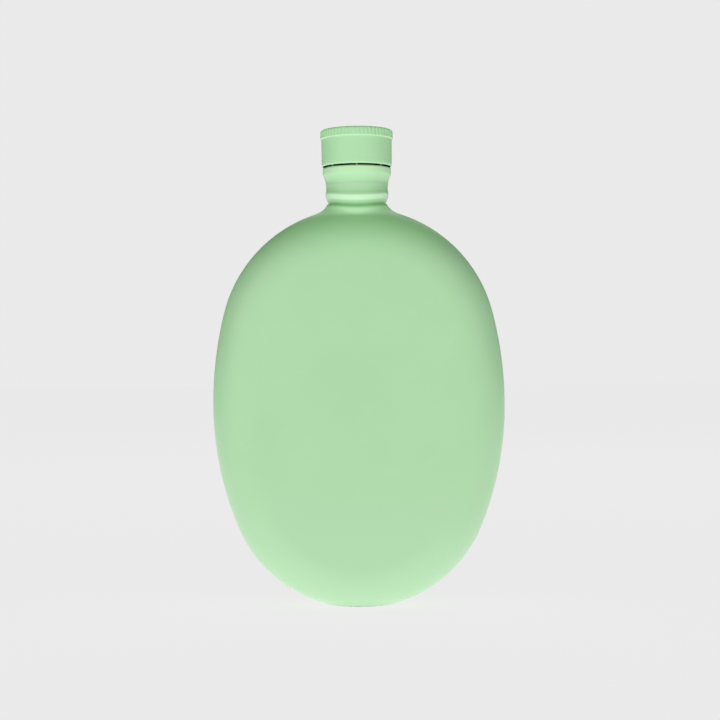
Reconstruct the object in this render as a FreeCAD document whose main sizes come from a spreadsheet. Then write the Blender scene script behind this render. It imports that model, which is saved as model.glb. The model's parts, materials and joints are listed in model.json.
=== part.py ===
# A flat oval sake bottle of lacquered glass with a screw cap, as a parametric FreeCAD document.
#
# Millimetres. The origin is the middle of the foot, +Z runs up the neck's axis, X is the bottle's width and Y its
# depth. The pieces are the glass bottle, the cap's metal shell, the moulded thread insert pressed into the shell,
# the sealing liner in the insert, and the tamper band that stays on the neck.

import FreeCAD, Part
import math
import os
from types import SimpleNamespace

import Sketcher

# alias: (number, what it is). Heights are above the foot, radii are from the neck's axis.
SIZES = {
    # The body: a slab with an oval outline of tangent arcs, and fully rounded rims.
    "body_depth": (42.0, "front face to back face"),
    "rim_radius": (20.6, "rounding of both rims"),
    "half_width": (65.4, "axis to the widest point of the outline"),
    "widest_height": (89.5, "height of the widest point"),
    "top_arc_radius": (62.1, "outline arc over the shoulders"),
    "top_arc_height": (115.6, "centre of that arc"),
    "bottom_arc_radius": (59.0, "outline arc round the bottom"),
    "bottom_arc_height": (57.2, "centre of that arc"),
    "wall": (3.2, "glass thickness of the body"),
    "base_thickness": (6.0, "foot plane to the bottom of the hollow"),
    # The foot: an oval pad under the rounded bottom, with a push-up in it.
    "foot_half_width": (14.2, "bearing face, along X"),
    "foot_half_depth": (11.4, "bearing face, along Y"),
    "heel_height": (0.8, "where the rounded bottom is cut off"),
    "heel_half_width": (17.4, "foot at that height, along X"),
    "heel_half_depth": (12.4, "foot at that height, along Y"),
    "blend_height": (4.0, "where the foot is lost in the body"),
    "blend_half_width": (22.6, "foot at that height, along X"),
    "blend_half_depth": (13.9, "foot at that height, along Y"),
    "pushup_rise": (2.0, "height of the push-up"),
    "pushup_half_width": (9.4, "push-up, along X"),
    "pushup_half_depth": (6.8, "push-up, along Y"),
    # The neck: a ring, a plain collar, the bead that holds the band, the threaded finish and the lip.
    "neck_foot_height": (160.0, "where the neck starts, inside the body"),
    "root_radius": (13.3, "neck below the ring"),
    "root_fillet": (3.5, "rounding between neck and shoulder"),
    "ring_low_height": (179.5, "crease under the ring"),
    "ring_high_height": (183.6, "widest point of the ring, at its upper end"),
    "ring_high_radius": (14.15, "ring at that height"),
    "ring_bulge": (8.0, "radius of the ring's section"),
    "collar_low_height": (187.0, "lower end of the plain collar"),
    "collar_high_height": (188.05, "upper end of the plain collar"),
    "collar_radius": (13.9, "plain collar"),
    "waist_radius": (13.45, "glass inside the band's lower edge"),
    "waist_high_height": (189.4, "upper end of that waist"),
    "bead_radius": (14.87, "bead that holds the band"),
    "bead_low_height": (192.9, "lower end of the bead's face"),
    "bead_high_height": (194.4, "upper end of the bead's face"),
    "finish_low_height": (195.8, "foot of the threaded finish"),
    "finish_radius": (13.35, "root of the glass thread"),
    "lip_height": (209.5, "top of the glass"),
    "lip_round": (0.9, "rounding of the lip"),
    "bore_radius": (9.6, "bore of the neck"),
    # The threads: a ridge on the glass, and one in the insert that runs just under it.
    "thread_pitch": (3.2, "rise in one turn"),
    "thread_turns": (1.5, "length of each ridge"),
    "thread_sink": (0.3, "how deep each ridge is rooted in its wall"),
    "glass_thread_height": (202.9, "middle of the glass ridge at its lower end"),
    "glass_thread_radius": (14.25, "its crest"),
    "glass_thread_root": (1.5, "its width at the root"),
    "glass_thread_tip": (0.6, "its width at the crest"),
    "insert_thread_drop": (1.15, "how far the insert's ridge lies under the glass ridge"),
    "insert_thread_radius": (13.65, "its crest"),
    "insert_thread_root": (1.3, "its width at the root"),
    "insert_thread_tip": (0.4, "its width at the crest"),
    # The cap's shell.
    "cap_height": (212.6, "top of the cap"),
    "cap_low_height": (196.2, "lower edge of the shell"),
    "skirt_low_radius": (15.65, "skirt at the hem"),
    "skirt_high_radius": (15.88, "skirt under the knurled band"),
    "hem_round": (0.5, "inward curl of the lower edge"),
    "sheet": (0.25, "thickness of the metal"),
    "top_corner": (1.3, "rounding of the top edge"),
    "knurl_low_height": (208.7, "lower end of the knurled band"),
    "knurl_bevel": (0.8, "height of the bevel under it"),
    "knurl_radius": (16.29, "knurled band over its ridges"),
    "flute_radius": (0.6, "radius of each flute"),
    "flute_depth": (0.28, "depth of each flute"),
    # The thread insert, which fills the shell's bore, and the liner.
    "insert_radius": (15.4, "outside of the insert"),
    "insert_low_height": (198.4, "lower edge of the insert"),
    "insert_bore": (14.5, "inside of the insert"),
    "insert_top": (1.2, "thickness of its top"),
    "insert_corner": (0.6, "rounding of its top edge"),
    "catch_radius": (14.05, "catch that keeps the liner in"),
    "catch_rise": (0.6, "height of that catch"),
    "liner_radius": (14.25, "sealing liner"),
    "liner_thickness": (1.5, "sealing liner"),
    "seal_play": (0.05, "gap between lip and liner"),
    # The tamper band, and the torn bridges between it and the shell.
    "band_radius": (15.25, "outside of the band"),
    "band_high_height": (195.4, "upper edge of the band"),
    "band_bend_height": (192.6, "where the band starts to tuck in"),
    "band_low_height": (188.25, "lower edge of the band"),
    "band_low_radius": (13.95, "outside of that edge"),
    "nib_width": (0.8, "width of each torn bridge"),
    "nib_stub": (0.22, "length left on each side of the tear"),
    "nib_root": (0.1, "how deep each stub is rooted"),
}
FLUTES = 56
BRIDGES = 8

H_AXIS = -1
V_AXIS = -2
START = 1
END = 2
CENTRE = 3


class Size:
    """A number together with the spreadsheet formula that gives it."""

    def __init__(self, number, text):
        self.number = number
        self.text = text

    def __add__(self, other):
        return Size(self.number + other.number, f"({self.text} + {other.text})")

    def __sub__(self, other):
        return Size(self.number - other.number, f"({self.text} - {other.text})")

    def __mul__(self, factor):
        return Size(self.number * factor, f"({self.text} * {factor})")

    def __neg__(self):
        return self * -1


ZERO = Size(0.0, "0")


def make_sheet(doc):
    """Fills the spreadsheet of driving dimensions and returns each one as a Size."""
    sheet = doc.addObject("Spreadsheet::Sheet", "sizes")
    sizes = SimpleNamespace()
    for row, (alias, (number, meaning)) in enumerate(SIZES.items(), start=1):
        sheet.set(f"A{row}", alias)
        sheet.set(f"B{row}", str(number))
        sheet.set(f"C{row}", meaning)
        sheet.setAlias(f"B{row}", alias)
        setattr(sizes, alias, Size(number, f"sizes.{alias}"))
    doc.recompute()
    return sizes


# Sketches


def new_sketch(body, name, role, height=ZERO):
    """A sketch on one of the body's own origin planes, moved along the plane's normal by height."""
    plane = next(f for f in body.Origin.OriginFeatures if f.Role == role)
    sketch = body.newObject("Sketcher::SketchObject", name)
    sketch.AttachmentSupport = [(plane, "")]
    sketch.MapMode = "FlatFace"
    sketch.setExpression("AttachmentOffset.Base.z", height.text)
    return sketch


def hold(sketch, kind, *where, size):
    """Adds a dimension to the sketch and ties it to the spreadsheet."""
    index = sketch.addConstraint(Sketcher.Constraint(kind, *where, size.number))
    sketch.setExpression(f"Constraints[{index}]", size.text)


def place(sketch, edge, corner, x, y):
    """Holds a corner or centre of a sketch edge at (x, y)."""
    for axis, kind, size in ((V_AXIS, "DistanceX", x), (H_AXIS, "DistanceY", y)):
        if size is ZERO:
            sketch.addConstraint(Sketcher.Constraint("PointOnObject", edge, corner, axis))
        else:
            hold(sketch, kind, edge, corner, size=size)


def draw_line(sketch, a, b):
    """A line from a to b: its edge, and which of its ends lie at a and at b."""
    return sketch.addGeometry(Part.LineSegment(a, b), False), START, END


def draw_arc(sketch, a, b, radius):
    """The short arc from a to b, turning left for a positive radius and right for a negative one."""
    along = b - a
    left = FreeCAD.Vector(-along.y, along.x, 0).normalize()
    rise = math.sqrt(radius**2 - (along.Length / 2) ** 2)
    centre = (a + b) / 2 + left * math.copysign(rise, radius)
    circle = Part.Circle(centre, FreeCAD.Vector(0, 0, 1), abs(radius))
    angles = [circle.parameter(a), circle.parameter(b)]
    if radius > 0:
        return sketch.addGeometry(Part.ArcOfCircle(circle, *angles), False), START, END
    return sketch.addGeometry(Part.ArcOfCircle(circle, *reversed(angles)), False), END, START


def draw_loop(sketch, corners):
    """A closed loop of (x, y) corners, or (x, y, radius) where an arc runs on to the next corner."""
    points = [FreeCAD.Vector(x.number, y.number, 0) for x, y, *_ in corners]
    edges = []
    for a, b, (_, _, *arc) in zip(points, points[1:] + points[:1], corners):
        if arc:
            edges.append(draw_arc(sketch, a, b, arc[0].number))
        else:
            edges.append(draw_line(sketch, a, b))
    for (edge, _, tail), (after, head, _) in zip(edges, edges[1:] + edges[:1]):
        sketch.addConstraint(Sketcher.Constraint("Coincident", edge, tail, after, head))
    for (edge, head, _), (x, y, *arc) in zip(edges, corners):
        place(sketch, edge, head, x, y)
        if arc:
            hold(sketch, "Radius", edge, size=arc[0] if arc[0].number > 0 else -arc[0])


def draw_oval(sketch, oval):
    """The body's outline: an arc over the top, one round the bottom and two down each side, all tangent."""
    widest = oval.widest_height.number
    half_width = oval.half_width.number

    def side_arcs(radius, height):
        """Radius of the side arc that meets the given arc, and the angle where they meet."""
        rise = height.number - widest
        square = radius.number**2 - half_width**2 - rise**2
        side_radius = square / (2 * (radius.number - half_width))
        return side_radius, math.atan2(rise, side_radius - half_width)

    def arc(x, y, radius, start, end):
        circle = Part.Circle(FreeCAD.Vector(x, y, 0), FreeCAD.Vector(0, 0, 1), radius)
        return sketch.addGeometry(Part.ArcOfCircle(circle, start, end), False)

    upper, high = side_arcs(oval.top_radius, oval.top_height)
    lower, low = side_arcs(oval.bottom_radius, oval.bottom_height)
    top = arc(0, oval.top_height.number, oval.top_radius.number, high, math.pi - high)
    left_high = arc(upper - half_width, widest, upper, math.pi - high, math.pi)
    left_low = arc(lower - half_width, widest, lower, math.pi, math.pi - low)
    bottom = arc(0, oval.bottom_height.number, oval.bottom_radius.number, math.pi - low, math.tau + low)
    right_low = arc(half_width - lower, widest, lower, low, 0)
    right_high = arc(half_width - upper, widest, upper, 0, high)

    ring = [top, left_high, left_low, bottom, right_low, right_high]
    for edge, after in zip(ring, ring[1:] + ring[:1]):
        sketch.addConstraint(Sketcher.Constraint("Tangent", edge, END, after, START))
    place(sketch, top, CENTRE, ZERO, oval.top_height)
    hold(sketch, "Radius", top, size=oval.top_radius)
    place(sketch, bottom, CENTRE, ZERO, oval.bottom_height)
    hold(sketch, "Radius", bottom, size=oval.bottom_radius)
    place(sketch, right_high, START, oval.half_width, oval.widest_height)
    place(sketch, left_high, END, -oval.half_width, oval.widest_height)
    for edge in (right_high, left_high):
        hold(sketch, "DistanceY", edge, CENTRE, size=oval.widest_height)


def ellipse_sketch(body, name, half_width, half_depth, height):
    """A horizontal ellipse round the neck's axis, longer along X."""
    sketch = new_sketch(body, name, "XY_Plane", height)
    along = FreeCAD.Vector(half_width.number, 0, 0)
    across = FreeCAD.Vector(0, half_depth.number, 0)
    edge = sketch.addGeometry(Part.Ellipse(along, across, FreeCAD.Vector(0, 0, 0)), False)
    sketch.exposeInternalGeometry(edge)
    long_axis = edge + 1
    short_axis = edge + 2
    place(sketch, edge, CENTRE, ZERO, ZERO)
    sketch.addConstraint(Sketcher.Constraint("Horizontal", long_axis))
    hold(sketch, "Distance", long_axis, size=half_width * 2)
    hold(sketch, "Distance", short_axis, size=half_depth * 2)
    return sketch


# Features


def pad(body, name, sketch, length, kind="PartDesign::Pad"):
    """Pads or pockets a sketch over the given length."""
    feature = body.newObject(kind, name)
    feature.Profile = (sketch, [""])
    feature.setExpression("Length", length.text)
    body.Document.recompute()
    return feature


def revolve(body, name, corners):
    """A turned solid: the loop of (radius, height) corners taken round the neck's axis."""
    sketch = new_sketch(body, name + "_profile", "XZ_Plane")
    draw_loop(sketch, corners)
    feature = body.newObject("PartDesign::Revolution", name)
    feature.Profile = (sketch, [""])
    feature.ReferenceAxis = (sketch, ["V_Axis"])
    feature.Angle = 360.0
    body.Document.recompute()
    return feature


def wind(body, name, corners, sizes):
    """A thread ridge: the loop of (radius, height) corners wound up the neck's axis."""
    sketch = new_sketch(body, name + "_profile", "XZ_Plane")
    draw_loop(sketch, corners)
    feature = body.newObject("PartDesign::AdditiveHelix", name)
    feature.Profile = (sketch, [""])
    feature.ReferenceAxis = (sketch, ["V_Axis"])
    feature.Mode = "pitch-turns-angle"
    feature.setExpression("Pitch", sizes.thread_pitch.text)
    feature.setExpression("Turns", sizes.thread_turns.text)
    body.Document.recompute()
    return feature


def repeat(body, name, feature, count):
    """Spreads a feature evenly round the neck's axis and makes that the body's result."""
    pattern = body.newObject("PartDesign::PolarPattern", name)
    pattern.Originals = [feature]
    pattern.Axis = (feature.Profile[0], ["N_Axis"])
    pattern.Angle = 360.0
    pattern.Occurrences = count
    body.Tip = pattern
    body.Document.recompute()
    return pattern


def round_edges(body, name, feature, wanted, radius):
    """Fillets those edges of a feature for which wanted(edge) holds."""
    edges = [f"Edge{i}" for i, edge in enumerate(feature.Shape.Edges, start=1) if wanted(edge)]
    fillet = body.newObject("PartDesign::Fillet", name)
    fillet.Base = (feature, edges)
    fillet.setExpression("Radius", radius.text)
    body.Document.recompute()
    return fillet


def oval_slab(body, name, oval):
    """A slab with the oval outline, centred on Y = 0, with both rims rounded."""
    sketch = new_sketch(body, name + "_outline", "XZ_Plane")
    draw_oval(sketch, oval)
    slab = pad(body, name, sketch, oval.depth)
    slab.SideType = "Symmetric"
    body.Document.recompute()
    half_depth = oval.depth.number / 2

    def is_rim(edge):
        return math.isclose(abs(edge.CenterOfMass.y), half_depth)

    return round_edges(body, name + "_rims", slab, is_rim, oval.rim_radius)


def add_nibs(body, sizes, outer_radius, height, length):
    """The torn bridges on an edge of thin metal: stubs that stand up from height by length."""
    sketch = new_sketch(body, "nib_outline", "XY_Plane", height)
    half = sizes.nib_width * 0.5
    inner = outer_radius - sizes.sheet * 0.8
    draw_loop(sketch, [(inner, -half), (outer_radius, -half), (outer_radius, half), (inner, half)])
    nib = pad(body, "nib", sketch, length)
    return repeat(body, "nibs", nib, BRIDGES)


# Sub-parts


def make_glass_outside(doc, sizes):
    """The outer shape of the glass, solid through."""
    body = doc.addObject("PartDesign::Body", "glass_outside")
    oval = SimpleNamespace(
        top_radius=sizes.top_arc_radius,
        top_height=sizes.top_arc_height,
        bottom_radius=sizes.bottom_arc_radius,
        bottom_height=sizes.bottom_arc_height,
        half_width=sizes.half_width,
        widest_height=sizes.widest_height,
        depth=sizes.body_depth,
        rim_radius=sizes.rim_radius,
    )
    oval_slab(body, "slab", oval)

    # The rounded bottom is cut off flat, and an oval foot takes its place.
    sketch = new_sketch(body, "bottom_cut_outline", "XY_Plane", sizes.heel_height)
    reach = sizes.half_width
    draw_loop(sketch, [(-reach, -reach), (reach, -reach), (reach, reach), (-reach, reach)])
    pad(body, "bottom_cut", sketch, reach, "PartDesign::Pocket")
    foot_face = ellipse_sketch(body, "foot_face", sizes.foot_half_width, sizes.foot_half_depth, ZERO)
    heel = ellipse_sketch(body, "heel", sizes.heel_half_width, sizes.heel_half_depth, sizes.heel_height)
    blend = ellipse_sketch(body, "blend", sizes.blend_half_width, sizes.blend_half_depth, sizes.blend_height)
    foot = body.newObject("PartDesign::AdditiveLoft", "foot")
    foot.Profile = foot_face
    foot.Sections = [heel, blend]
    doc.recompute()

    # The neck stands on the shoulder.
    neck = revolve(
        body,
        "neck",
        [
            (ZERO, sizes.neck_foot_height),
            (sizes.root_radius, sizes.neck_foot_height),
            (sizes.root_radius, sizes.ring_low_height, sizes.ring_bulge),
            (sizes.ring_high_radius, sizes.ring_high_height),
            (sizes.collar_radius, sizes.collar_low_height),
            (sizes.collar_radius, sizes.collar_high_height),
            (sizes.waist_radius, sizes.collar_high_height),
            (sizes.waist_radius, sizes.waist_high_height),
            (sizes.bead_radius, sizes.bead_low_height),
            (sizes.bead_radius, sizes.bead_high_height),
            (sizes.finish_radius, sizes.finish_low_height),
            (sizes.finish_radius, sizes.lip_height - sizes.lip_round, sizes.lip_round),
            (sizes.finish_radius - sizes.lip_round, sizes.lip_height),
            (ZERO, sizes.lip_height),
        ],
    )

    def is_root(edge):
        box = edge.BoundBox
        is_round = max(box.XLength, box.YLength) < 2 * sizes.collar_radius.number
        over_foot = box.ZMin > sizes.neck_foot_height.number
        return is_round and over_foot and box.ZMax < sizes.top_arc_height.number + sizes.top_arc_radius.number

    round_edges(body, "neck_root", neck, is_root, sizes.root_fillet)

    buried = sizes.finish_radius - sizes.thread_sink
    middle = sizes.glass_thread_height
    root = sizes.glass_thread_root * 0.5
    tip = sizes.glass_thread_tip * 0.5
    wind(
        body,
        "glass_thread",
        [
            (buried, middle - root),
            (sizes.finish_radius, middle - root),
            (sizes.glass_thread_radius, middle - tip),
            (sizes.glass_thread_radius, middle + tip),
            (sizes.finish_radius, middle + root),
            (buried, middle + root),
        ],
        sizes,
    )

    pushup = body.newObject("PartDesign::SubtractiveEllipsoid", "pushup")
    pushup.setExpression("Radius1", sizes.pushup_rise.text)
    pushup.setExpression("Radius2", sizes.pushup_half_width.text)
    pushup.setExpression("Radius3", sizes.pushup_half_depth.text)
    doc.recompute()
    return body


def make_glass_hollow(doc, sizes):
    """The hollow of the glass: the body's shape, a wall smaller, and the bore of the neck."""
    body = doc.addObject("PartDesign::Body", "glass_hollow")
    oval = SimpleNamespace(
        top_radius=sizes.top_arc_radius - sizes.wall,
        top_height=sizes.top_arc_height,
        bottom_radius=sizes.bottom_arc_height - sizes.base_thickness,
        bottom_height=sizes.bottom_arc_height,
        half_width=sizes.half_width - sizes.wall,
        widest_height=sizes.widest_height,
        depth=sizes.body_depth - sizes.wall * 2,
        rim_radius=sizes.rim_radius - sizes.wall,
    )
    oval_slab(body, "hollow_slab", oval)
    mouth_radius = sizes.bore_radius + sizes.lip_round
    revolve(
        body,
        "bore",
        [
            (ZERO, sizes.neck_foot_height),
            (sizes.bore_radius, sizes.neck_foot_height),
            (sizes.bore_radius, sizes.lip_height - sizes.lip_round, -sizes.lip_round),
            (mouth_radius, sizes.lip_height),
            (mouth_radius, sizes.cap_height),
            (ZERO, sizes.cap_height),
        ],
    )
    return body


def make_glass_bottle(doc, sizes):
    """The glass: its outer shape less its hollow."""
    bottle = doc.addObject("Part::Cut", "glass_bottle")
    bottle.Base = make_glass_outside(doc, sizes)
    bottle.Tool = make_glass_hollow(doc, sizes)
    doc.recompute()
    return bottle


def make_cap_shell(doc, sizes):
    """The metal shell of the cap: knurled at the top, with a plain skirt and the torn bridges on its hem."""
    body = doc.addObject("PartDesign::Body", "cap_shell")
    hem_radius = sizes.skirt_low_radius - sizes.hem_round
    corner_height = sizes.cap_height - sizes.top_corner
    ceiling = sizes.cap_height - sizes.sheet
    revolve(
        body,
        "shell",
        [
            (hem_radius, sizes.cap_low_height, sizes.hem_round),
            (sizes.skirt_low_radius, sizes.cap_low_height + sizes.hem_round),
            (sizes.skirt_high_radius, sizes.knurl_low_height - sizes.knurl_bevel),
            (sizes.knurl_radius, sizes.knurl_low_height),
            (sizes.knurl_radius, corner_height, sizes.top_corner),
            (sizes.knurl_radius - sizes.top_corner, sizes.cap_height),
            (ZERO, sizes.cap_height),
            (ZERO, ceiling),
            (sizes.insert_radius - sizes.insert_corner, ceiling, -sizes.insert_corner),
            (sizes.insert_radius, ceiling - sizes.insert_corner),
            (sizes.insert_radius, sizes.cap_low_height + sizes.hem_round, sizes.sheet - sizes.hem_round),
            (hem_radius, sizes.cap_low_height + sizes.sheet),
        ],
    )
    flute_low = sizes.knurl_low_height - sizes.knurl_bevel
    flute_centre = sizes.knurl_radius + sizes.flute_radius - sizes.flute_depth
    sketch = new_sketch(body, "flute_outline", "XY_Plane", flute_low)
    middle = FreeCAD.Vector(flute_centre.number, 0, 0)
    circle = Part.Circle(middle, FreeCAD.Vector(0, 0, 1), sizes.flute_radius.number)
    edge = sketch.addGeometry(circle, False)
    place(sketch, edge, CENTRE, flute_centre, ZERO)
    hold(sketch, "Radius", edge, size=sizes.flute_radius)
    flute = pad(body, "flute", sketch, sizes.cap_height - flute_low, "PartDesign::Pocket")
    flute.Reversed = True
    doc.recompute()
    repeat(body, "flutes", flute, FLUTES)
    nib_low = sizes.cap_low_height - sizes.nib_stub
    add_nibs(body, sizes, hem_radius + sizes.sheet, nib_low, sizes.nib_stub + sizes.nib_root)
    return body


def make_thread_insert(doc, sizes):
    """The moulded insert that fills the shell, with the cap's thread and the catch under the liner."""
    body = doc.addObject("PartDesign::Body", "thread_insert")
    top = sizes.cap_height - sizes.sheet
    ceiling = top - sizes.insert_top
    catch_high = sizes.lip_height
    revolve(
        body,
        "insert",
        [
            (sizes.insert_bore, sizes.insert_low_height),
            (sizes.insert_radius, sizes.insert_low_height),
            (sizes.insert_radius, top - sizes.insert_corner, sizes.insert_corner),
            (sizes.insert_radius - sizes.insert_corner, top),
            (ZERO, top),
            (ZERO, ceiling),
            (sizes.insert_bore, ceiling),
            (sizes.insert_bore, catch_high),
            (sizes.catch_radius, catch_high - sizes.catch_rise * 0.5),
            (sizes.insert_bore, catch_high - sizes.catch_rise),
        ],
    )
    buried = sizes.insert_bore + sizes.thread_sink
    middle = sizes.glass_thread_height - sizes.insert_thread_drop
    root = sizes.insert_thread_root * 0.5
    tip = sizes.insert_thread_tip * 0.5
    wind(
        body,
        "insert_thread",
        [
            (buried, middle + root),
            (sizes.insert_bore, middle + root),
            (sizes.insert_thread_radius, middle + tip),
            (sizes.insert_thread_radius, middle - tip),
            (sizes.insert_bore, middle - root),
            (buried, middle - root),
        ],
        sizes,
    )
    return body


def make_sealing_liner(doc, sizes):
    """The liner: a disc over the lip."""
    liner = doc.addObject("Part::Cylinder", "sealing_liner")
    liner.setExpression("Radius", sizes.liner_radius.text)
    liner.setExpression("Height", sizes.liner_thickness.text)
    liner.setExpression("Placement.Base.z", (sizes.lip_height + sizes.seal_play).text)
    doc.recompute()
    return liner


def make_tamper_band(doc, sizes):
    """The band left on the neck: straight above, tucked in under the glass bead below."""
    body = doc.addObject("PartDesign::Body", "tamper_band")
    revolve(
        body,
        "band",
        [
            (sizes.band_low_radius - sizes.sheet, sizes.band_low_height),
            (sizes.band_low_radius, sizes.band_low_height),
            (sizes.band_radius, sizes.band_bend_height),
            (sizes.band_radius, sizes.band_high_height),
            (sizes.band_radius - sizes.sheet, sizes.band_high_height),
            (sizes.band_radius - sizes.sheet, sizes.band_bend_height),
        ],
    )
    nib_low = sizes.band_high_height - sizes.nib_root
    add_nibs(body, sizes, sizes.band_radius, nib_low, sizes.nib_stub + sizes.nib_root)
    return body


def check_document(doc):
    """Stops where any object of the document has failed."""
    for thing in doc.Objects:
        if "Invalid" in thing.State or "Error" in thing.State:
            raise RuntimeError(f"{thing.Name} failed: {thing.State}")


def export(sub_parts):
    """Writes each sub-part's shape to parts/."""
    os.makedirs("parts", exist_ok=True)
    for sub_part in sub_parts:
        shape = sub_part.Shape
        if shape.isNull() or not shape.isValid() or len(shape.Solids) != 1:
            raise RuntimeError(f"{sub_part.Label} is not one valid solid")
        shape.exportStep(f"parts/{sub_part.Label}.step")
        print(f"{sub_part.Label}: {shape.Volume / 1000:.2f} cm3")


def main():
    doc = FreeCAD.newDocument("sake_bottle")
    sizes = make_sheet(doc)
    makers = [make_glass_bottle, make_cap_shell, make_thread_insert, make_sealing_liner, make_tamper_band]
    sub_parts = [make(doc, sizes) for make in makers]
    doc.recompute()
    check_document(doc)
    export(sub_parts)


main()
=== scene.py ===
# A flat oval sake bottle in mint lacquer with a knurled screw cap: its looks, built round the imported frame.
#
# The frame's axes: X is the bottle's width, Y its depth with the front at -Y, +Z runs up the neck. Shapes
# are worked out in millimetres, like the design, and scaled to metres as each mesh is made. Materials and
# the studio are in metres.

import json
import math
from types import SimpleNamespace

import bpy
import numpy as np
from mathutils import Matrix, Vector


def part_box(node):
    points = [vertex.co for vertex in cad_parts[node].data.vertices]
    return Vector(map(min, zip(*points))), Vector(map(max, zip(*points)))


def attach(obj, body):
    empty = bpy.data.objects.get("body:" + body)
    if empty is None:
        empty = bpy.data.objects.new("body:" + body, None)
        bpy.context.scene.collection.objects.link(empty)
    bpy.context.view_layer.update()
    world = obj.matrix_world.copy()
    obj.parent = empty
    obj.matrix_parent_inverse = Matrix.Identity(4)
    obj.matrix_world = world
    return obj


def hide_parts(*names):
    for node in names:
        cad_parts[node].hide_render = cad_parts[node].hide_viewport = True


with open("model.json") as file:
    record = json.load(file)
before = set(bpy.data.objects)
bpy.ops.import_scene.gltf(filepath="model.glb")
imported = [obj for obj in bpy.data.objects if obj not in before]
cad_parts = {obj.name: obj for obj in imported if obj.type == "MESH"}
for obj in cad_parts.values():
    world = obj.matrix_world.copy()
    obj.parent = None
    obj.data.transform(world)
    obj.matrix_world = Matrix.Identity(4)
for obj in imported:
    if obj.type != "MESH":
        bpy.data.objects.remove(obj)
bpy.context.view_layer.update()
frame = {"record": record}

MM = 0.001

# The overall sizes come from the frame's own boxes.
_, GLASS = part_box("glass_bottle")
_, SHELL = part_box("cap_shell")
LINER_LOW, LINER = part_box("sealing_liner")
HALF_WIDTH = GLASS.x / MM
HALF_DEPTH = GLASS.y / MM
LIP = GLASS.z / MM
CAP_TOP = SHELL.z / MM
PITCH = next(c["ratio"] for c in frame["record"]["behaviour"]["couplings"]) * math.tau / MM

# The outline of the body: arcs over the top and round the bottom, and two tangent arcs down each side.
OUTLINE = SimpleNamespace(
    top_radius=62.1,
    top_centre=115.6,
    bottom_radius=59.0,
    bottom_centre=57.2,
    half_width=HALF_WIDTH,
    widest=89.5,
)

# The body and its foot. Pairs are half the width and half the depth. The foot spreads by FOOT_SPREAD on the
# way up to FOOT_HEIGHT, where it runs into the body.
RIM = 19.3
CROWN = 1.2
WALL = 3.2
BASE = 6.0
FOOT = (14.2, 11.4)
FOOT_SPREAD = (8.4, 2.5)
FOOT_HEIGHT = 4.0
FOOT_CURVE = 0.6
FOOT_BLEND = 0.8
PUSHUP = (9.4, 6.8)
PUSHUP_RISE = 2.0

# The neck. Its root is narrower and flares more at the sides than in front, and the crease under its ring
# dips in front and behind, over DIP_SPAN. The neck and the bore are cylinders that begin at NECK_START,
# inside the body.
NECK_START = 150.0
CREASE_RADIUS = 13.2
NECK_SINK = 0.8
SIDE_FLARE = 7.6
FRONT_FLARE = 0.9
CREASE = 179.3
CREASE_DIP = 1.75
DIP_SPAN = (172.0, 178.5, 183.0, 187.5)
FINISH_RADIUS = 13.35
LACQUER_TOP = 194.2
BORE = 9.6
BORE_FOOT = 176.0
BORE_BLEND = 3.0

# The quarter turn of every glass ring: points close together at the mould seam, then evenly spread. Rings
# whose quarter is shorter than SEAM_QUARTER have the close points closer still.
SEAM_STEPS = np.array([0.0, 0.15, 0.32, 0.55, 0.9, 1.5])
SEAM_QUARTER = 20
EVEN_STEPS = 42
SEAM_RISE = 0.06
SEAM_WIDTH = 0.28
SEAM_SPAN = (1.0, 6.0, 186.0, 187.5)

# How finely the glass is drawn: the rings from the push-up to the hollow, the step along the neck's
# path, the points that measure a quarter turn, and the halvings that find the surface, from the axis out to
# SEARCH_MARGIN past the body's side. PAD_RINGS counts both edges of the pad.
PUSHUP_RINGS = 14
PUSHUP_START = 0.06
PAD_RINGS = 8
BODY_RINGS = 170
HOLLOW_RINGS = 84
NECK_STEP = 0.34
QUARTER_POINTS = 361
HALVINGS = 32
SEARCH_MARGIN = 5

# The threads: the widths of a ridge at its root and tip, and how far it stands out of its wall. The cap's
# thread runs THREAD_PLAY under the glass's, and both taper out over THREAD_RUNOUT of a turn.
THREAD_TURNS = 1.5
THREAD_HEIGHT = 202.9
THREAD_RUNOUT = 0.09
THREAD_PLAY = 1.15
GLASS_THREAD = SimpleNamespace(root=1.9, tip=0.7, rise=0.9)
CAP_THREAD = SimpleNamespace(root=1.3, tip=0.4, rise=0.85)

# The cap's knurled band, and the stubs of the torn bridges between the cap and the band on the neck.
FLUTES = 56
FLUTE_POINTS = 8
FLUTE_DEPTH = 0.32
FLUTE_CURVE = 0.7
BRIDGES = 8
STUB_WIDTH = 0.4
STUB_RISE = 0.2

# The linear colours of the lacquer and the paint.
LACQUER = (0.341, 0.587, 0.322)
LACQUER_CLOUD = (0.352, 0.601, 0.334)
LACQUER_PATCH = (0.385, 0.63, 0.37)
# Painted light: a paler lacquer for the body towards the foot.
LACQUER_LOW_PAINTED_LIGHT = (0.372, 0.612, 0.356)
# Painted shade: a deeper green for the upward-facing shoulders.
LACQUER_SHOULDER_SHADE = (0.282, 0.568, 0.256)
# Painted highlight for the crest of the neck ring.
LACQUER_CREST_HIGHLIGHT = (0.53, 0.82, 0.51)
# Painted light for the front of the neck root.
LACQUER_ROOT_HIGHLIGHT = (0.4, 0.71, 0.375)
# Painted shade for the crease under the neck ring.
LACQUER_CREASE_SHADE = (0.17, 0.44, 0.16)
# Painted shade for the groove above the neck ring.
LACQUER_GROOVE_SHADE = (0.27, 0.53, 0.24)
LACQUER_WORN = (0.5, 0.72, 0.48)
RUBBED_GLASS = (0.19, 0.3, 0.21)
MINT_PAINT = (0.36, 0.64, 0.34)
# Painted light: a paler mint for the upper part of the tamper band.
MINT_BAND_TOP_LIGHT = (0.44, 0.73, 0.42)
MINT_PATCH = (0.4, 0.66, 0.39)
BARE_METAL = (0.6, 0.66, 0.6)

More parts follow.
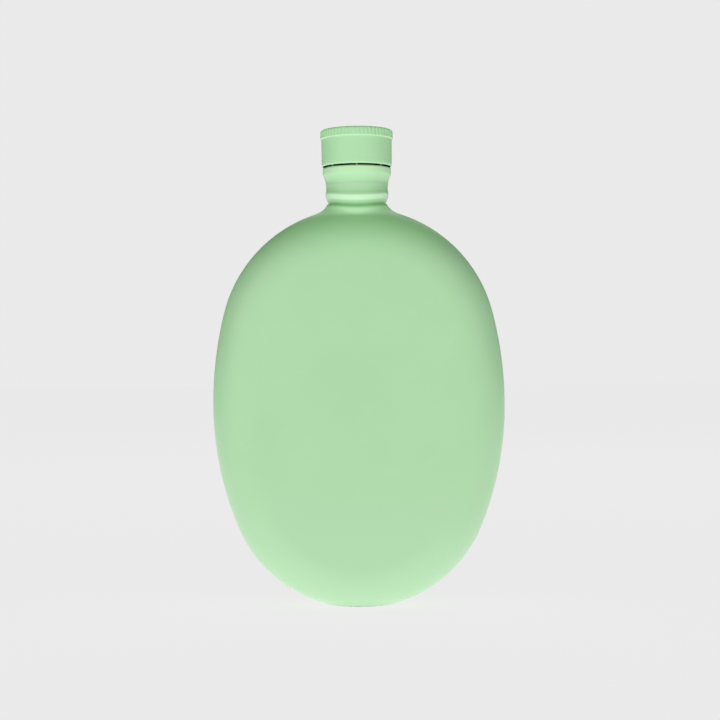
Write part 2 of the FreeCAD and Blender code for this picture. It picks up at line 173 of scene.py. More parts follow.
# The studio, in metres. Light is given as radiance, where 1 is white on the screen.
FLOOR_REACH = 6.0
FLOOR_DROP = 0.0001
FLOOR_GLOW = 1.26
FLOOR_SEEN = 0.787
BACKDROP = 234
FRONT_LIGHT = 1.27
AROUND_LIGHT = 0.22
OVERHEAD_LIGHT = 0.04
CAMERA_LENS = 80
CAMERA_SENSOR = 36
CAMERA_PLACE = (0.00063, -0.720, 0.10936)
CAMERA_ROLL = 0.55
SOFTBOX_TARGET = (0, 0, 0.1)
SOFTBOX_SIZE = 0.9


# Shapes


def smooth_step(low, high, value):
    """0 below low, 1 above high, and a smooth curve between them."""
    share = np.clip((value - low) / (high - low), 0, 1)
    return share * share * (3 - 2 * share)


def plateau(span, value):
    """1 in the middle of a (start, full, until, end) span, 0 outside it, and smooth curves between."""
    start, full, until, end = span
    return smooth_step(start, full, value) * (1 - smooth_step(until, end, value))


def smooth_union(a, b, reach):
    """The smaller of two distances, rounded where they are within reach of each other."""
    share = np.clip(0.5 + 0.5 * (b - a) / reach, 0, 1)
    return b + (a - b) * share - reach * share * (1 - share)


def inset_of(outline, x, z):
    """How far inside the outline the point (x, z) lies."""

    def side(radius, centre):
        """The radius of the side's arc that runs into an end arc, and the angle where they meet."""
        rise = centre - outline.widest
        square = radius**2 - outline.half_width**2 - rise**2
        side_radius = square / (2 * (radius - outline.half_width))
        return side_radius, math.atan2(rise, side_radius - outline.half_width)

    x = np.abs(x)
    upper, high = side(outline.top_radius, outline.top_centre)
    lower, low = side(outline.bottom_radius, outline.bottom_centre)
    is_upper = z >= outline.widest
    side_radius = np.where(is_upper, upper, lower)
    across = x + side_radius - outline.half_width
    angle = np.arctan2(z - outline.widest, across)
    on_side = side_radius - np.hypot(across, z - outline.widest)
    on_top = outline.top_radius - np.hypot(x, z - outline.top_centre)
    on_bottom = outline.bottom_radius - np.hypot(x, z - outline.bottom_centre)
    return np.where(angle > high, on_top, np.where(angle < low, on_bottom, on_side))


def slab_distance(outline, rim, half_depth, x, y, z):
    """Signed distance to a slab with that outline, fully rounded rims and slightly crowned faces."""
    inset = inset_of(outline, x, z)
    crown = CROWN * np.clip(1 - inset / outline.half_width, 0, 1) ** 2 * smooth_step(0, rim, inset)
    beyond = rim - inset
    off_face = np.abs(y) - (half_depth - crown - rim)
    return np.hypot(np.maximum(beyond, 0), np.maximum(off_face, 0)) - rim


def ellipse_radius(half_width, half_depth, angle):
    """The distance from an ellipse's centre to its edge, in the direction of the angle."""
    return half_width * half_depth / np.hypot(half_depth * np.cos(angle), half_width * np.sin(angle))


def outer_distance(radius, angle, z):
    """Distance to the outside of the glass below the neck's ring: body, foot and neck as one form."""
    x = radius * np.cos(angle)
    y = radius * np.sin(angle)
    body = slab_distance(OUTLINE, RIM, HALF_DEPTH, x, y, z)
    sideways = np.cos(angle) ** 2
    neck_radius = CREASE_RADIUS - NECK_SINK * sideways
    flare = FRONT_FLARE + (SIDE_FLARE - FRONT_FLARE) * sideways
    body = smooth_union(body, radius - neck_radius + np.maximum(NECK_START - z, 0), flare)
    growth = np.clip(z / FOOT_HEIGHT, 0, 1) ** FOOT_CURVE
    foot_edge = ellipse_radius(FOOT[0] + FOOT_SPREAD[0] * growth, FOOT[1] + FOOT_SPREAD[1] * growth, angle)
    return smooth_union(body, radius - foot_edge + np.maximum(z - FOOT_HEIGHT, 0), FOOT_BLEND)


def inner_distance(radius, angle, z):
    """Distance to the inside of the glass: the hollow and the bore."""
    hollow = SimpleNamespace(
        top_radius=OUTLINE.top_radius - WALL,
        top_centre=OUTLINE.top_centre,
        bottom_radius=OUTLINE.bottom_centre - BASE,
        bottom_centre=OUTLINE.bottom_centre,
        half_width=OUTLINE.half_width - WALL,
        widest=OUTLINE.widest,
    )
    x = radius * np.cos(angle)
    y = radius * np.sin(angle)
    body = slab_distance(hollow, RIM - WALL, HALF_DEPTH - WALL, x, y, z)
    return smooth_union(body, radius - BORE + np.maximum(NECK_START - z, 0), BORE_BLEND)


def surface_radius(distance, angle, z):
    """Where the distance is zero on the way out from the neck's axis, by halving the interval."""
    low = np.zeros_like(angle + z)
    high = np.full_like(low, HALF_WIDTH + SEARCH_MARGIN)
    for _ in range(HALVINGS):
        middle = (low + high) / 2
        inside = distance(middle, angle, z) < 0
        low = np.where(inside, middle, low)
        high = np.where(inside, high, middle)
    return (low + high) / 2


def ring_angles(distance, z):
    """The angles of one ring's points: close together at the seam, then evenly spread along the ring."""
    dense = np.linspace(0, math.pi / 2, QUARTER_POINTS)
    radius = surface_radius(distance, dense, z)
    x = radius * np.cos(dense)
    y = radius * np.sin(dense)
    length = np.concatenate([[0], np.cumsum(np.hypot(np.diff(x), np.diff(y)))])
    near = SEAM_STEPS * min(1, length[-1] / SEAM_QUARTER)
    even = np.linspace(near[-1], length[-1], EVEN_STEPS + 1)[1:]
    quarter = np.interp(np.concatenate([near, even]), length, dense)
    half = np.concatenate([quarter, math.pi - quarter[-2::-1]])
    return np.concatenate([half, half[1:-1] + math.pi])


def dipped(angle, z):
    """Heights round the neck's crease, lowered in front and behind, where the shoulder falls away."""
    return z - CREASE_DIP * plateau(DIP_SPAN, z) * np.sin(angle) ** 2


def slices(distance, heights, lower=None):
    """Rings of (radius, angle, height) where level planes, or lowered ones, meet the surface."""
    angle = np.array([ring_angles(distance, z) for z in heights])
    z = np.repeat(heights[:, None], angle.shape[1], axis=1)
    if lower:
        z = lower(angle, z)
    return surface_radius(distance, angle, z), angle, z


def between(low, high, count):
    """Heights from low to high, closer together towards both ends."""
    return low + (high - low) * (1 - np.cos(np.linspace(0, math.pi, count))) / 2


def rounded_corner(before, corner, after, step):
    """The arc that stands for a corner (radius, height, rounding), as points about a step apart."""
    here = np.array(corner[:2], float)
    rounding = corner[2]
    arriving = here - np.array(before[:2], float)
    leaving = np.array(after[:2], float) - here
    arriving /= np.linalg.norm(arriving)
    leaving /= np.linalg.norm(leaving)
    turn = math.acos(np.clip(arriving @ leaving, -1, 1))
    cut = rounding * math.tan(turn / 2)
    normal = leaving - arriving
    normal /= np.linalg.norm(normal)
    centre = here + normal * rounding / math.cos(turn / 2)
    spoke = here - arriving * cut - centre
    count = max(3, int(math.ceil(rounding * turn / step)), int(math.ceil(turn / 0.25)))
    sense = math.copysign(1, arriving[0] * leaving[1] - arriving[1] * leaving[0])
    arc = []
    for share in np.linspace(0, 1, count + 1):
        a = sense * turn * share
        rotation = np.array([[math.cos(a), -math.sin(a)], [math.sin(a), math.cos(a)]])
        arc.append(centre + rotation @ spoke)
    return arc


def rounded_path(corners, step):
    """A path through (radius, height, rounding) corners, as points at most a step apart."""
    points = [np.array(corners[0][:2], float)]
    for before, corner, after in zip(corners, corners[1:], corners[2:]):
        points += rounded_corner(before, corner, after, step)
    points.append(np.array(corners[-1][:2], float))
    filled = [points[0]]
    for a, b in zip(points, points[1:]):
        count = max(1, int(math.ceil(np.linalg.norm(b - a) / step)))
        filled += [a + (b - a) * k / count for k in range(1, count + 1)]
    return np.array(filled)


def thread_ridge(angle, z, low, thread):
    """A thread's ridge, from 0 at its wall to 1 on its crest, tapering out at both ends."""
    turn = np.mod(angle, math.tau) / math.tau
    ridge = np.zeros_like(turn + z)
    for whole in range(math.ceil(THREAD_TURNS)):
        along = turn + whole
        off = np.abs(z - low - PITCH * along)
        shape = 1 - smooth_step(thread.tip / 2, thread.root / 2, off)
        ends = plateau((0.0, THREAD_RUNOUT, THREAD_TURNS - THREAD_RUNOUT, THREAD_TURNS), along)
        ridge = np.maximum(ridge, shape * ends)
    return ridge


def stub_at(angle, radius):
    """The stubs of the torn bridges round an edge of that radius, from 0 between them to 1 on each."""
    pitch = math.tau / BRIDGES
    half_width = STUB_WIDTH / radius
    off = np.abs(np.mod(angle + pitch / 2, pitch) - pitch / 2)
    return 1 - smooth_step(half_width * 0.55, half_width, off)


# Meshes


def mesh_of_rings(name, radius, angle, z, closed=False):
    """A solid from rings of points. Its ends run to a point on the axis, or, if closed, into each other."""
    rings, around = radius.shape
    points = np.stack([radius * np.cos(angle), radius * np.sin(angle), z], axis=-1).reshape(-1, 3)
    index = np.arange(rings * around).reshape(rings, around)
    following = np.roll(index, -1, axis=1)
    last = rings if closed else rings - 1
    faces = []
    for j in range(last):
        k = (j + 1) % rings
        faces += np.stack([index[j], following[j], following[k], index[k]], axis=-1).tolist()
    if not closed:
        poles = [[0, 0, z[0].mean()], [0, 0, z[-1].mean()]]
        points = np.concatenate([points, poles])
        bottom = rings * around
        faces += [[bottom, b, a] for a, b in zip(index[0].tolist(), following[0].tolist())]
        faces += [[bottom + 1, a, b] for a, b in zip(index[-1].tolist(), following[-1].tolist())]
    mesh = bpy.data.meshes.new(name)
    mesh.from_pydata((points * MM).tolist(), [], faces)
    mesh.shade_smooth()
    piece = bpy.data.objects.new(name, mesh)
    bpy.context.scene.collection.objects.link(piece)
    return piece


def turned(name, corners, step, count, shape=None, closed=False):
    """A turned piece: a rounded path taken round the axis, which shape(radius, angle, z) may vary."""
    path = rounded_path(corners, step)
    path = path[:-1] if closed else path[1:-1]
    radius = path[:, :1]
    z = path[:, 1:]
    angle = np.linspace(0, math.tau, count, endpoint=False)[None, :]
    if shape:
        radius, z = shape(radius, angle, z)
    radius, angle, z = np.broadcast_arrays(radius, angle, z)
    return mesh_of_rings(name, radius, angle, z, closed)


def stand_for(piece, node, body, slot, *materials):
    """The piece takes a CAD node's place on its body and gets the materials in order. The slot argument is
    not used.
    """
    for material in materials:
        piece.data.materials.append(material)
    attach(piece, body)
    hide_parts(node)
    return piece


def neck_path():
    """The neck above the crease, down to the foot of the bore. Corners are (radius, height, rounding)."""
    ring = [
        (CREASE_RADIUS, CREASE, 0),
        (12.75, CREASE + 0.4, 0.15),
        (13.1, CREASE + 1.0, 0.4),
        (13.86, 181.9, 2.2),
        (14.2, 184.0, 0.9),
    ]
    collar = [
        (13.86, 185.2, 0.7),
        (13.86, 186.6, 2.0),
        (14.0, 188.05, 0.03),
    ]
    waist = [
        (13.45, 188.05, 0.12),
        (13.45, 189.5, 0.9),
    ]
    bead = [
        (14.87, 193.0, 0.8),
        (14.87, 194.4, 0.5),
    ]
    finish = [
        (FINISH_RADIUS, 195.8, 0.8),
        (FINISH_RADIUS, LIP, 0.9),
        (BORE, LIP, 0.9),
        (BORE, BORE_FOOT, 0),
    ]
    return rounded_path(ring + collar + waist + bead + finish, NECK_STEP)


def base_rings(angle):
    """The rings of the foot, from the middle of the push-up out to the edge of its pad."""
    dome = np.sin(np.linspace(PUSHUP_START, math.pi / 2, PUSHUP_RINGS))[:, None]
    dome_radius = ellipse_radius(PUSHUP[0], PUSHUP[1], angle) * dome
    dome_height = PUSHUP_RISE * np.sqrt(1 - dome**2) + 0 * dome_radius
    share = np.linspace(0, 1, PAD_RINGS)[1:-1, None]
    pad_width = PUSHUP[0] + (FOOT[0] - PUSHUP[0]) * share
    pad_depth = PUSHUP[1] + (FOOT[1] - PUSHUP[1]) * share
    pad_radius = ellipse_radius(pad_width, pad_depth, angle)
    radius = np.concatenate([dome_radius, pad_radius])
    height = np.concatenate([dome_height, 0 * pad_radius])
    return radius, angle + 0 * radius, height


def neck_rings(angle):
    """The rings of the neck, with the thread on the outside of its finish."""
    path = neck_path()
    radius = path[:, :1]
    height = path[:, 1:] + 0 * angle
    ridge = thread_ridge(angle, height, THREAD_HEIGHT, GLASS_THREAD)
    outside = smooth_step(FINISH_RADIUS - 0.3, FINISH_RADIUS, radius)
    threaded = radius + GLASS_THREAD.rise * ridge * outside
    return threaded, angle + 0 * height, dipped(angle, height)


def glass_rings():
    """Every ring of the glass: push-up, foot, outside, neck, lip, bore, and the hollow to its bottom."""
    body = slices(outer_distance, between(0.0, CREASE, BODY_RINGS)[:-1], dipped)
    base = base_rings(body[1][:1])
    neck = neck_rings(ring_angles(outer_distance, CREASE)[None, :])
    hollow = slices(inner_distance, between(BASE + 0.02, BORE_FOOT, HOLLOW_RINGS)[::-1][1:])
    return [np.concatenate(parts) for parts in zip(base, body, neck, hollow)]


def add_seam(radius, angle, z):
    """The fine ridge that the mould leaves down both sides of the body and neck."""
    off = radius * np.abs(np.sin(angle))
    ridge = SEAM_RISE * np.exp(-((off / SEAM_WIDTH) ** 2))
    return radius + ridge * plateau(SEAM_SPAN, z)


def make_glass(*materials):
    """The bottle, in one piece of glass: lacquered outside up to LACQUER_TOP, and bare from there on."""
    radius, angle, z = glass_rings()
    outside = np.arange(len(radius))[:, None] < np.argmax(z[:, 0])
    radius = np.where(outside, add_seam(radius, angle, z) - SEAM_RISE, radius)
    radius = np.maximum(radius, 0)
    piece = mesh_of_rings("bottle_glass", radius, angle, z)
    rings, around = radius.shape
    bare_from = np.argmax(z[:, 0] > LACQUER_TOP) * around
    pushup_middle = range((rings - 1) * around, rings * around)
    for face in piece.data.polygons:
        is_bare = face.index >= bare_from and face.index not in pushup_middle
        face.material_index = int(is_bare)
    return stand_for(piece, "glass_bottle", "bottle", "lacquered_glass", *materials)


def make_shell(*materials):
    """The cap's metal shell: fluted above, plain below, with a curled hem that keeps the bridges' stubs."""
    hem = 196.2
    bore = 15.4
    curl = 15.15
    knurl = 16.29
    ceiling = CAP_TOP - 0.25
    corners = [
        (0, ceiling, 0),
        (bore, ceiling, 0.6),
        (bore, hem + 0.25, 0.25),
        (curl, hem + 0.25, 0.1),
        (curl, hem, 0.1),
        (15.37, hem, 0.1),
        (15.69, hem + 0.6, 0.25),
        (15.76, 198.0, 3.0),
        (15.83, 206.6, 2.5),
        (15.86, 208.15, 0.1),
        (knurl, 208.75, 0.2),
        (knurl, CAP_TOP, 1.25),
        (0, CAP_TOP, 0),
    ]

    def shape(radius, angle, z):
        """Cuts the flutes into the knurled band and its top edge, and adds the stubs under the hem."""
        outer = smooth_step(15.9, 16.25, radius) * smooth_step(208.7, 209.2, z)
        over_top = smooth_step(14.4, 15.6, radius) * smooth_step(CAP_TOP - 0.6, CAP_TOP - 0.3, z)
        flute = 0.5 - 0.5 * np.cos(FLUTES * angle)
        depth = FLUTE_DEPTH * np.maximum(outer, over_top)
        fluted = radius - depth * (1 - flute**FLUTE_CURVE)
        stub = stub_at(angle, 15.3) * (1 - smooth_step(hem + 0.02, hem + 0.2, z))
        return fluted, z - STUB_RISE * stub

    piece = turned("cap_shell_metal", corners, 0.38, FLUTES * FLUTE_POINTS, shape)
    return stand_for(piece, "cap_shell", "cap", "painted_aluminium", *materials)


def make_insert(*materials):
    """The moulded insert: its bore with the catch for the liner and the thread, and a plain outside."""
    top = CAP_TOP - 0.25
    ceiling = top - 1.2
    low = 198.4
    bore = 14.5
    outside = 15.4
    corners = [
        (0, ceiling, 0),
        (bore, ceiling, 0.2),
        (bore, LIP - 0.02, 0.05),
        (14.05, LIP - 0.3, 0.08),
        (bore, LIP - 0.6, 0.1),
        (bore, low, 0.15),
        (outside, low, 0.15),
        (outside, top, 0.6),
        (0, top, 0),
    ]

    def shape(radius, angle, z):
        """Adds the thread to the bore."""
        inside = 1 - smooth_step(bore, bore + 0.1, radius)
        ridge = thread_ridge(angle, z, THREAD_HEIGHT - THREAD_PLAY, CAP_THREAD)
        return radius - CAP_THREAD.rise * ridge * inside, z

    piece = turned("cap_thread_insert", corners, 0.25, 240, shape)
    return stand_for(piece, "thread_insert", "cap", "insert_plastic", *materials)


def make_liner(*materials):
    """The liner: a disc with the lip's ring pressed into its underside."""
    low = LINER_LOW.z / MM
    high = LINER.z / MM
    edge = LINER.x / MM
    pressed = low + 0.1
    corners = [
        (0, low, 0),
        (10.0, low, 0.3),
        (10.2, pressed, 0.3),
        (12.9, pressed, 0.3),
        (13.1, low, 0.3),
        (edge, low, 0.25),
        (edge, high, 0.25),
        (0, high, 0),
    ]
    piece = turned("cap_liner", corners, 0.6, 160)
    return stand_for(piece, "sealing_liner", "liner", "liner_foam", *materials)


def make_band(*materials):
    """The tamper band: straight above with the bridges' stubs, and tucked in under the glass bead below."""
    high = 195.4
    bend = 192.7
    tuck = 189.5
    low = 188.08
    inside = 15.0
    outside = 15.33
    corners = [
        (inside, high - 1, 0),
        (inside, bend, 2.0),
        (13.84, tuck, 2.0),
        (13.76, low, 0.03),
        (14.01, low, 0.03),
        (14.09, tuck, 4.0),
        (outside, bend, 2.4),
        (outside, high, 0.3),
        (inside, high, 0.08),
        (inside, high - 1, 0),
    ]

    def shape(radius, angle, z):
        """Adds the stubs over the upper edge."""
        stub = stub_at(angle, 15.1) * smooth_step(high - 0.25, high - 0.05, z)
        return radius, z + STUB_RISE * stub

    piece = turned("neck_tamper_band", corners, 0.3, 480, shape, closed=True)
    return stand_for(piece, "tamper_band", "band", "painted_aluminium", *materials)


# Materials


class Nodes:
    """A tree of shader nodes, with short ways to add and link them."""

    def __init__(self, tree):
        self.tree = tree
        self.tree.nodes.clear()

    def feed(self, socket, value):
        """Links the socket to a node's output, or sets it to a plain value."""
        if isinstance(value, bpy.types.NodeSocket):
            self.tree.links.new(value, socket)
        else:
            socket.default_value = value

    def add(self, kind, inputs=None, **settings):
        """A new node, with its settings and the values or links of its inputs by name."""
        node = self.tree.nodes.new(kind)
        for name, value in settings.items():
            setattr(node, name, value)
        for name, value in (inputs or {}).items():
            self.feed(node.inputs[name], value)
        return node

    def span(self, value, low, high, to_low, to_high):
        """Maps low..high onto to_low..to_high, smoothly and without overshoot."""
        names = ("From Min", "From Max", "To Min", "To Max")
        inputs = {"Value": value, **dict(zip(names, (low, high, to_low, to_high)))}
        return self.add("ShaderNodeMapRange", inputs, interpolation_type="SMOOTHSTEP").outputs[0]

    def calculate(self, operation, a, b):
        """The result of an operation on two values, each a number or a node's output."""
        node = self.add("ShaderNodeMath", operation=operation)
        for socket, value in zip(node.inputs, (a, b)):
            self.feed(socket, value)
        return node.outputs[0]

    def plus(self, a, b):
        """The sum of two values."""
        return self.calculate("ADD", a, b)

    def times(self, a, b):
        """The product of two values."""
        return self.calculate("MULTIPLY", a, b)

    def over(self, a, b):
        """The quotient of two values."""
        return self.calculate("DIVIDE", a, b)


class Shader(Nodes):
    """A node-based material. Its patterns are laid out in the object's own coordinates."""

    def __init__(self, name):
        self.material = bpy.data.materials.new(name)
        self.material.use_nodes = True
        super().__init__(self.material.node_tree)
        self.place = self.add("ShaderNodeTexCoord").outputs["Object"]

    def noise(self, scale, detail=2.0, stretch=(1, 1, 1)):
        """A noise pattern with scale features to the metre."""
        place = self.add("ShaderNodeMapping", {"Vector": self.place, "Scale": stretch}).outputs[0]
        return self.add("ShaderNodeTexNoise", {"Vector": place, "Scale": scale, "Detail": detail}).outputs[0]

    def mix(self, share, a, b):
        """Colour a where share is 0 and b where it is 1."""
        node = self.add("ShaderNodeMix", {"Factor": share}, data_type="RGBA")
        colours = [socket for socket in node.inputs if socket.type == "RGBA"]
        for socket, colour in zip(colours, (a, b)):
            self.feed(socket, colour if isinstance(colour, bpy.types.NodeSocket) else (*colour, 1.0))
        return next(socket for socket in node.outputs if socket.type == "RGBA")

    def bump(self, height, strength, distance, normal=None):
        """A normal bent by a height pattern, on top of another normal where one is given."""
        inputs = {"Height": height, "Strength": strength, "Distance": distance}
        if normal:
            inputs["Normal"] = normal
        return self.add("ShaderNodeBump", inputs).outputs[0]

    def ring(self, lower, upper, rise, fall):
        """1 between the rise of one height and the fall of another, 0 outside, and smooth between."""
        return self.times(self.span(lower, *rise, 0, 1), self.span(upper, *fall, 1, 0))

    def finish(self, **inputs):
        """Ends the material in a Principled shader. Names are the sockets' own, with _ for a space."""
        named = {name.replace("_", " "): value for name, value in inputs.items()}
        for name, value in named.items():
            if isinstance(value, tuple) and len(value) == 3:
                named[name] = (*value, 1.0)
        shader = self.add("ShaderNodeBsdfPrincipled", named)
        self.add("ShaderNodeOutputMaterial", {"Surface": shader.outputs[0]})
        return self.material


def srgb(red, green, blue):
    """A colour given as 0 to 255 display values, as the linear one that shaders use."""

    def linear(value):
        return value / 255 / 12.92 if value <= 10 else ((value / 255 + 0.055) / 1.055) ** 2.4

    return tuple(linear(value) for value in (red, green, blue))


def body_tint(s, height, patches):
    """The lacquer of the body: cloudy and patchy, with painted light that makes it paler low down and painted
    shade that makes it deeper on the shoulders.
    """
    clouds = s.span(s.noise(28, 3.0), 0.35, 0.65, 0, 1)
    colour = s.mix(clouds, LACQUER, LACQUER_CLOUD)
    colour = s.mix(s.span(patches, 0.55, 0.75, 0, 0.2), colour, LACQUER_PATCH)
    # Painted light: the lacquer is made paler from 75 mm down to the foot.
    colour = s.mix(s.span(height, 0.075, 0.012, 0, 1), colour, LACQUER_LOW_PAINTED_LIGHT)
    # Painted shade: the shoulders are made deeper green where they face up.
    painted_shoulder_shade = s.ring(height, height, (0.148, 0.174), (0.1765, 0.1795))
    return s.mix(painted_shoulder_shade, colour, LACQUER_SHOULDER_SHADE)


def undipped(s, split):
    """Heights on the neck as they would be if its crease and its ring were level all round."""
    across = s.times(split["X"], split["X"])
    deep = s.times(split["Y"], split["Y"])
    forward = s.over(deep, s.plus(across, deep))
    return s.plus(split["Z"], s.times(forward, CREASE_DIP * MM))


def neck_tint(s, colour, height, level):
    """The lacquer of the neck, with painted highlights on the root and the ring's crest and painted shade in
    the crease and the groove.
    """
    # Painted highlight: a pale line along the crest of the neck ring.
    crest = s.ring(level, level, (0.1812, 0.1824), (0.1836, 0.1845))
    colour = s.mix(crest, colour, LACQUER_CREST_HIGHLIGHT)
    # Painted light: the front of the neck root is made paler.
    root = s.ring(height, level, (0.1728, 0.1752), (0.1778, 0.1788))
    colour = s.mix(root, colour, LACQUER_ROOT_HIGHLIGHT)
    # Painted shade: a dark line in the crease under the ring.
    crease = s.ring(level, level, (0.1784, 0.1792), (0.1801, 0.1811))
    colour = s.mix(crease, colour, LACQUER_CREASE_SHADE)
    # Painted shade: a darker line along the groove above the ring.
    groove = s.ring(level, level, (0.1844, 0.1851), (0.1853, 0.1885))
    return s.mix(s.times(groove, 0.6), colour, LACQUER_GROOVE_SHADE)


def lacquer_material():
    """Satin lacquer on glass, worn on its sharpest edges and rubbed through where the foot stands."""
    s = Shader("mint_lacquer")
    split = s.add("ShaderNodeSeparateXYZ", {"Vector": s.place}).outputs
    height = split["Z"]
    patches = s.noise(160, 4.0)
    colour = body_tint(s, height, patches)
    colour = neck_tint(s, colour, height, undipped(s, split))

    edges = s.add("ShaderNodeNewGeometry").outputs["Pointiness"]
    worn = s.times(s.span(edges, 0.53, 0.6, 0, 1), s.span(s.noise(420, 5.0), 0.45, 0.65, 0, 0.4))
    colour = s.mix(worn, colour, LACQUER_WORN)
    scuffs = s.span(s.noise(900, 4.0), 0.4, 0.6, 0.2, 1)
    rubbed = s.times(s.span(height, 0.0002, 0.0007, 1, 0), scuffs)
    colour = s.mix(rubbed, colour, RUBBED_GLASS)

    peel = s.bump(s.noise(1100, 1.0), 0.12, 0.00006)
    grain = s.bump(s.noise(9000, 2.0), 0.15, 0.00001, peel)
    roughness = s.plus(s.span(patches, 0.3, 0.7, 0.4, 0.46), s.times(rubbed, -0.2))
    return s.finish(Base_Color=colour, Roughness=roughness, Normal=grain, IOR=1.5, Specular_IOR_Level=0.7)


def bare_glass_material():
    """The glass itself, green and clear, where the lacquer stops under the cap and inside the bottle."""
    s = Shader("bare_glass")
    colour = s.mix(s.span(s.noise(60, 2.0), 0.35, 0.65, 0, 1), srgb(150, 190, 165), srgb(160, 198, 172))
    waves = s.bump(s.noise(220, 2.0), 0.1, 0.0002)
    roughness = s.span(s.noise(700, 3.0), 0.4, 0.7, 0.02, 0.07)
    return s.finish(Base_Color=colour, Roughness=roughness, Normal=waves, IOR=1.5, Transmission_Weight=1.0)


def paint_material(name, low, high, rings):
    """Satin paint on thin aluminium: mint, and bare metal on the sharpest ridges.

    The colour runs from low at 188 mm above the foot to high at 194 mm. Each of the rings is the height, the
    reach and the
    colour of a painted line: a highlight where it is paler, shade where it is darker."""
    s = Shader(name)
    height = s.add("ShaderNodeSeparateXYZ", {"Vector": s.place}).outputs["Z"]
    colour = s.mix(s.span(height, 0.188, 0.194, 0, 1), low, high)
    for level, reach, tint in rings:
        line = s.ring(height, height, (level - reach, level), (level, level + reach))
        colour = s.mix(line, colour, tint)
    colour = s.mix(s.span(s.noise(120, 3.0), 0.35, 0.75, 0, 0.15), colour, MINT_PATCH)

    edges = s.add("ShaderNodeNewGeometry").outputs["Pointiness"]
    worn = s.times(s.span(edges, 0.56, 0.66, 0, 1), s.span(s.noise(700, 5.0), 0.5, 0.62, 0, 0.5))
    colour = s.mix(worn, colour, BARE_METAL)

    drawn = s.bump(s.noise(2600, 2.0, (1, 1, 0.12)), 0.06, 0.00003)
    peel = s.bump(s.noise(1500, 1.0), 0.08, 0.00004, drawn)
    roughness = s.span(s.noise(500, 3.0), 0.3, 0.7, 0.38, 0.46)
    return s.finish(
        Base_Color=colour,
        Roughness=roughness,
        Metallic=worn,
        Normal=peel,
        IOR=1.5,
        Specular_IOR_Level=0.7,
    )


def plastic_material():
    """Moulded polyethylene: off-white, waxy, finely grained."""
    s = Shader("insert_plastic")
    colour = s.mix(s.span(s.noise(90, 3.0), 0.35, 0.65, 0, 1), srgb(226, 229, 222), srgb(233, 235, 229))
    grain = s.bump(s.noise(5000, 3.0), 0.2, 0.00002)
    roughness = s.span(s.noise(800, 3.0), 0.3, 0.7, 0.42, 0.52)
    return s.finish(Base_Color=colour, Roughness=roughness, Normal=grain, Subsurface_Weight=0.15)


def foam_material():
    """Pressed foam with a skin: pale, with small pits."""
    s = Shader("liner_foam")
    cells = s.add("ShaderNodeTexVoronoi", {"Vector": s.place, "Scale": 2600}).outputs["Distance"]
    colour = s.mix(s.span(cells, 0.1, 0.5, 0, 1), srgb(222, 223, 214), srgb(238, 238, 231))
    pits = s.bump(cells, 0.35, 0.00005)
    roughness = s.span(s.noise(400, 3.0), 0.3, 0.7, 0.62, 0.75)
    return s.finish(Base_Color=colour, Roughness=roughness, Normal=pits)


# Studio


def floor_material():
    """A pale sweep under even light. The camera sees it less bright than it lights the bottle."""
    s = Shader("pale_floor")
    mottle = s.span(s.noise(300, 3.0), 0.3, 0.7, 0, 1)
    colour = s.mix(mottle, (0.098, 0.098, 0.098), (0.102, 0.102, 0.102))
    seen = s.add("ShaderNodeLightPath").outputs["Is Camera Ray"]
    glow = s.plus(s.times(seen, FLOOR_SEEN - FLOOR_GLOW), FLOOR_GLOW)
    return s.finish(
        Base_Color=colour,
        Roughness=0.9,
        Specular_IOR_Level=0.0,
        Emission_Color=(1.0, 1.0, 1.0),
        Emission_Strength=glow,
    )


def make_floor():
    """A plain pale table, far wider than the view, a hair under the foot."""
    sides = ((-1, -1), (1, -1), (1, 1), (-1, 1))
    corners = [(FLOOR_REACH * x, FLOOR_REACH * y, -FLOOR_DROP) for x, y in sides]
    mesh = bpy.data.meshes.new("floor")
    mesh.from_pydata(corners, [], [(0, 1, 2, 3)])
    mesh.materials.append(floor_material())
    floor = bpy.data.objects.new("floor", mesh)
    bpy.context.scene.collection.objects.link(floor)


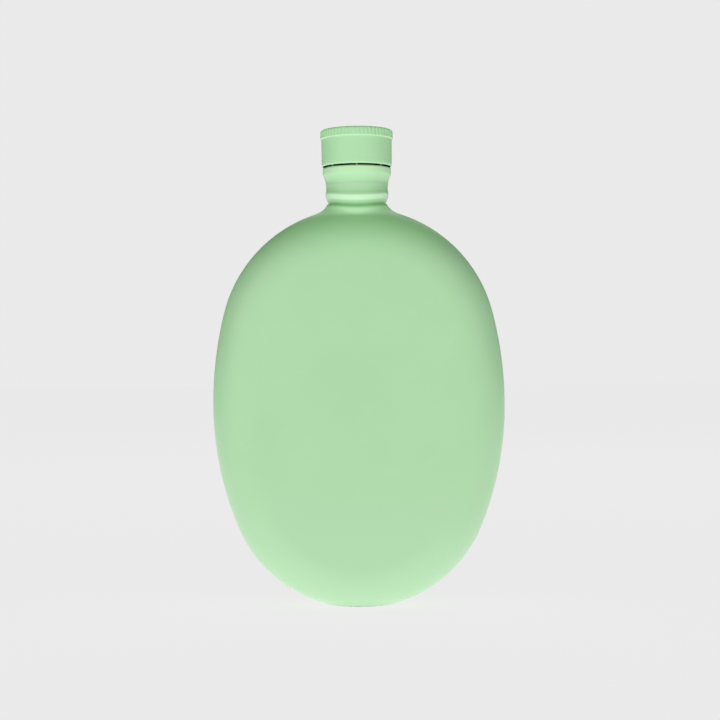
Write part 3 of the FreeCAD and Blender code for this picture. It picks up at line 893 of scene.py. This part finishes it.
def make_world():
    """A plain pale surround, and its light: bright low in front, dim elsewhere and dimmest overhead."""
    world = bpy.data.worlds.new("surround")
    world.use_nodes = True
    bpy.context.scene.world = world
    sky = Nodes(world.node_tree)
    place = sky.add("ShaderNodeTexCoord").outputs["Generated"]
    split = sky.add("ShaderNodeSeparateXYZ", {"Vector": place}).outputs
    front = sky.span(split["Y"], 0.0, -0.8, 0.0, FRONT_LIGHT)
    low_front = sky.times(front, sky.span(split["Z"], 0.66, 0.97, 1.0, 0.0))
    around = sky.span(split["Z"], 0.2, 0.8, AROUND_LIGHT, OVERHEAD_LIGHT)
    light = sky.plus(low_front, around)
    lit = sky.add("ShaderNodeBackground", {"Strength": light}).outputs[0]
    backdrop = (*srgb(BACKDROP, BACKDROP, BACKDROP), 1)
    seen = sky.add("ShaderNodeBackground", {"Color": backdrop}).outputs[0]
    path = sky.add("ShaderNodeLightPath").outputs["Is Camera Ray"]
    mix = sky.add("ShaderNodeMixShader")
    for socket, value in zip(mix.inputs, (path, lit, seen)):
        sky.feed(socket, value)
    sky.add("ShaderNodeOutputWorld", {"Surface": mix.outputs[0]})


def make_camera():
    """The camera: level, a long lens, a little over half the bottle's height and rolled by half a degree."""
    camera = bpy.data.objects.new("camera", bpy.data.cameras.new("camera"))
    camera.data.lens = CAMERA_LENS
    camera.data.sensor_width = CAMERA_SENSOR
    camera.location = CAMERA_PLACE
    camera.rotation_euler = (math.radians(90), math.radians(CAMERA_ROLL), 0)
    bpy.context.scene.collection.objects.link(camera)
    bpy.context.scene.camera = camera


def make_softbox(name, place, power):
    """A square soft light of that many watts, which faces the bottle and isn't seen itself."""
    light = bpy.data.lights.new(name, "AREA")
    light.shape = "SQUARE"
    light.size = SOFTBOX_SIZE
    light.energy = power
    box = bpy.data.objects.new(name, light)
    box.location = place
    aim = Vector(SOFTBOX_TARGET) - Vector(place)
    box.rotation_euler = aim.to_track_quat("-Z", "Y").to_euler()
    box.visible_camera = False
    bpy.context.scene.collection.objects.link(box)


def make_studio():
    """The floor, the surround, two weak soft lights and the camera."""
    make_floor()
    make_world()
    make_softbox("left_softbox", (-1.15, -0.6, 0.45), 1.5)
    make_softbox("back_softbox", (0.1, 1.0, 1.0), 2.2)
    make_camera()
    bpy.context.scene.view_settings.view_transform = "Standard"


lacquer = lacquer_material()
# Painted highlight: a pale line along the cap's hem.
hem_highlight_ring = (0.1965, 0.0004, (0.43, 0.78, 0.48))
# Painted highlight: a pale line under the knurled band.
knurl_highlight_ring = (0.2087, 0.0006, (0.48, 0.78, 0.46))
# Painted shade: a dark olive line along the band's top edge, under the cap's hem.
band_edge_shade_ring = (0.1953, 0.0009, (0.35, 0.53, 0.24))
shell_paint = paint_material("mint_cap_paint", MINT_PAINT, MINT_PAINT, [hem_highlight_ring, knurl_highlight_ring])
# Painted light: the band is made paler towards its top.
band_paint = paint_material("mint_band_paint", MINT_PAINT, MINT_BAND_TOP_LIGHT, [band_edge_shade_ring])
make_glass(lacquer, bare_glass_material())
make_shell(shell_paint)
make_insert(plastic_material())
make_liner(foam_material())
make_band(band_paint)
make_studio()
